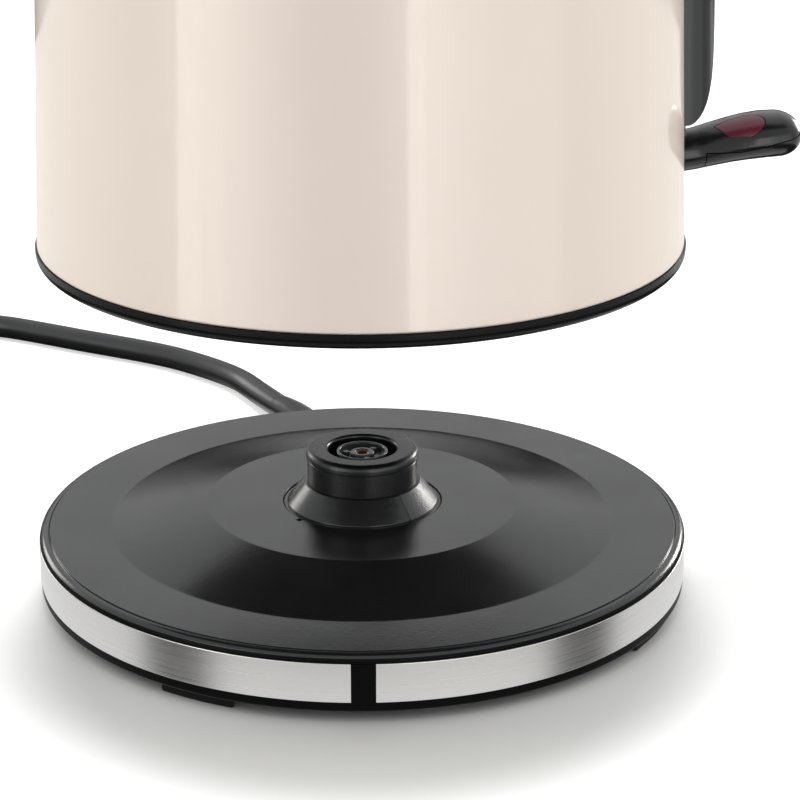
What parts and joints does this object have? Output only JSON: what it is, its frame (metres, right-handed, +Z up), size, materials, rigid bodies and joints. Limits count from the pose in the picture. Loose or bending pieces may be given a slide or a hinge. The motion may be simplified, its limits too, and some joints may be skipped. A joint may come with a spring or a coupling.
{
  "type": "electric kettle",
  "caption": "Cordless jug kettle lifted above its round corded power base, with hinged lid, loop handle, switch lever and spout filter.",
  "frame": {"origin": "middle of the object's outer box, without the mains lead, on the table under the power base's feet", "axes": "+Z up along the jug's and the base's common axis, +X towards the handle and the switch lever, -X towards the spout"},
  "size_m": [0.34, 0.2875, 0.2771],
  "materials": {
    "cream_enamel": "satin",
    "black_rim": "satin",
    "black_plastic": "satin",
    "base_black": "satin",
    "grey_plastic": "matt",
    "brushed_steel": "brushed",
    "bright_steel": "polished",
    "pale_silicone": "matt",
    "element_sheath": "oxidised",
    "brass": "bright",
    "black_rubber": "matt",
    "lead_black": "satin",
    "clear_gauge": "clear",
    "lens_red": "polished",
    "lamp_amber": "clear"
  },
  "bodies": {
    "jug": {"jug_body": "cream_enamel", "spout": "cream_enamel", "underside_cover": "black_rim", "underside_screws": "bright_steel", "element_plate": "brushed_steel", "plate_seal": "pale_silicone", "heating_element": "element_sheath", "control_unit": "black_plastic", "centre_contact": "brass", "ring_contact": "brass", "steam_pipe": "brushed_steel", "top_collar": "black_plastic", "hinge_pin": "bright_steel", "lid_spring": "bright_steel", "handle_spine": "black_plastic", "grip_shell": "black_plastic", "grip_liner": "grey_plastic", "grip_screws": "bright_steel", "water_gauge": "clear_gauge", "button_spring": "bright_steel", "lever_bracket": "grey_plastic", "lever_axle": "bright_steel"},
    "swivel": {"socket_sleeve": "black_plastic"},
    "power_base": {"base_top_cover": "base_black", "base_bottom_cover": "base_black", "base_band": "brushed_steel", "band_joint_strip": "base_black", "base_feet": "black_rubber", "base_screws": "bright_steel", "connector_skirt": "grey_plastic", "connector_cap": "base_black", "connector_insert": "grey_plastic", "contact_block": "black_plastic", "neutral_ring": "brass", "line_socket": "brass", "lead_tail": "lead_black", "lead_clamp": "grey_plastic", "lead_gland": "lead_black", "mains_lead": "lead_black", "lead_coil": "lead_black", "plug": "lead_black", "plug_pins": "brass"},
    "lid": {"lid_cover": "black_plastic", "lid_pan": "brushed_steel", "lid_gasket": "pale_silicone"},
    "button": {"lid_button": "grey_plastic"},
    "latch": {"latch_bolt": "grey_plastic"},
    "lever": {"lever_upper": "black_plastic", "lever_lower": "black_plastic", "lever_lens": "lens_red", "indicator_lamp": "lamp_amber"},
    "filter": {"filter_frame": "grey_plastic", "filter_mesh": "brushed_steel"}
  },
  "joints": [
    {"name": "kettle_turn", "type": "hinge", "parent": "jug", "child": "swivel", "pos_m": [-0.01775, 0, 0.0961], "axis": [0, 0, 1], "continuous": true},
    {"name": "kettle_lift", "type": "slide", "parent": "swivel", "child": "power_base", "axis": [0, 0, 1], "range_m": [0, 0.0693]},
    {"name": "lid_hinge", "type": "hinge", "parent": "jug", "child": "lid", "pos_m": [0.04225, 0, 0.2661], "axis": [0, 1, 0], "range_deg": [0, 75]},
    {"name": "button_press", "type": "slide", "parent": "jug", "child": "button", "axis": [0, 0, -1], "range_m": [0, 0.003], "stiffness_N_per_m": 400, "springref_m": -0.002, "deforming": ["button_spring"]},
    {"name": "latch_slide", "type": "slide", "parent": "jug", "child": "latch", "axis": [1, 0, 0], "range_m": [0, 0.003]},
    {"name": "lever_press", "type": "hinge", "parent": "jug", "child": "lever", "pos_m": [0.05205, 0, 0.1061], "axis": [0, 1, 0], "range_deg": [0, 12]},
    {"name": "filter_draw", "type": "slide", "parent": "jug", "child": "filter", "axis": [1, 0, 0], "range_m": [0, 0.02]}
  ],
  "couplings": [
    {"joint": "latch_slide", "follows": "button_press", "ratio": 1}
  ]
}
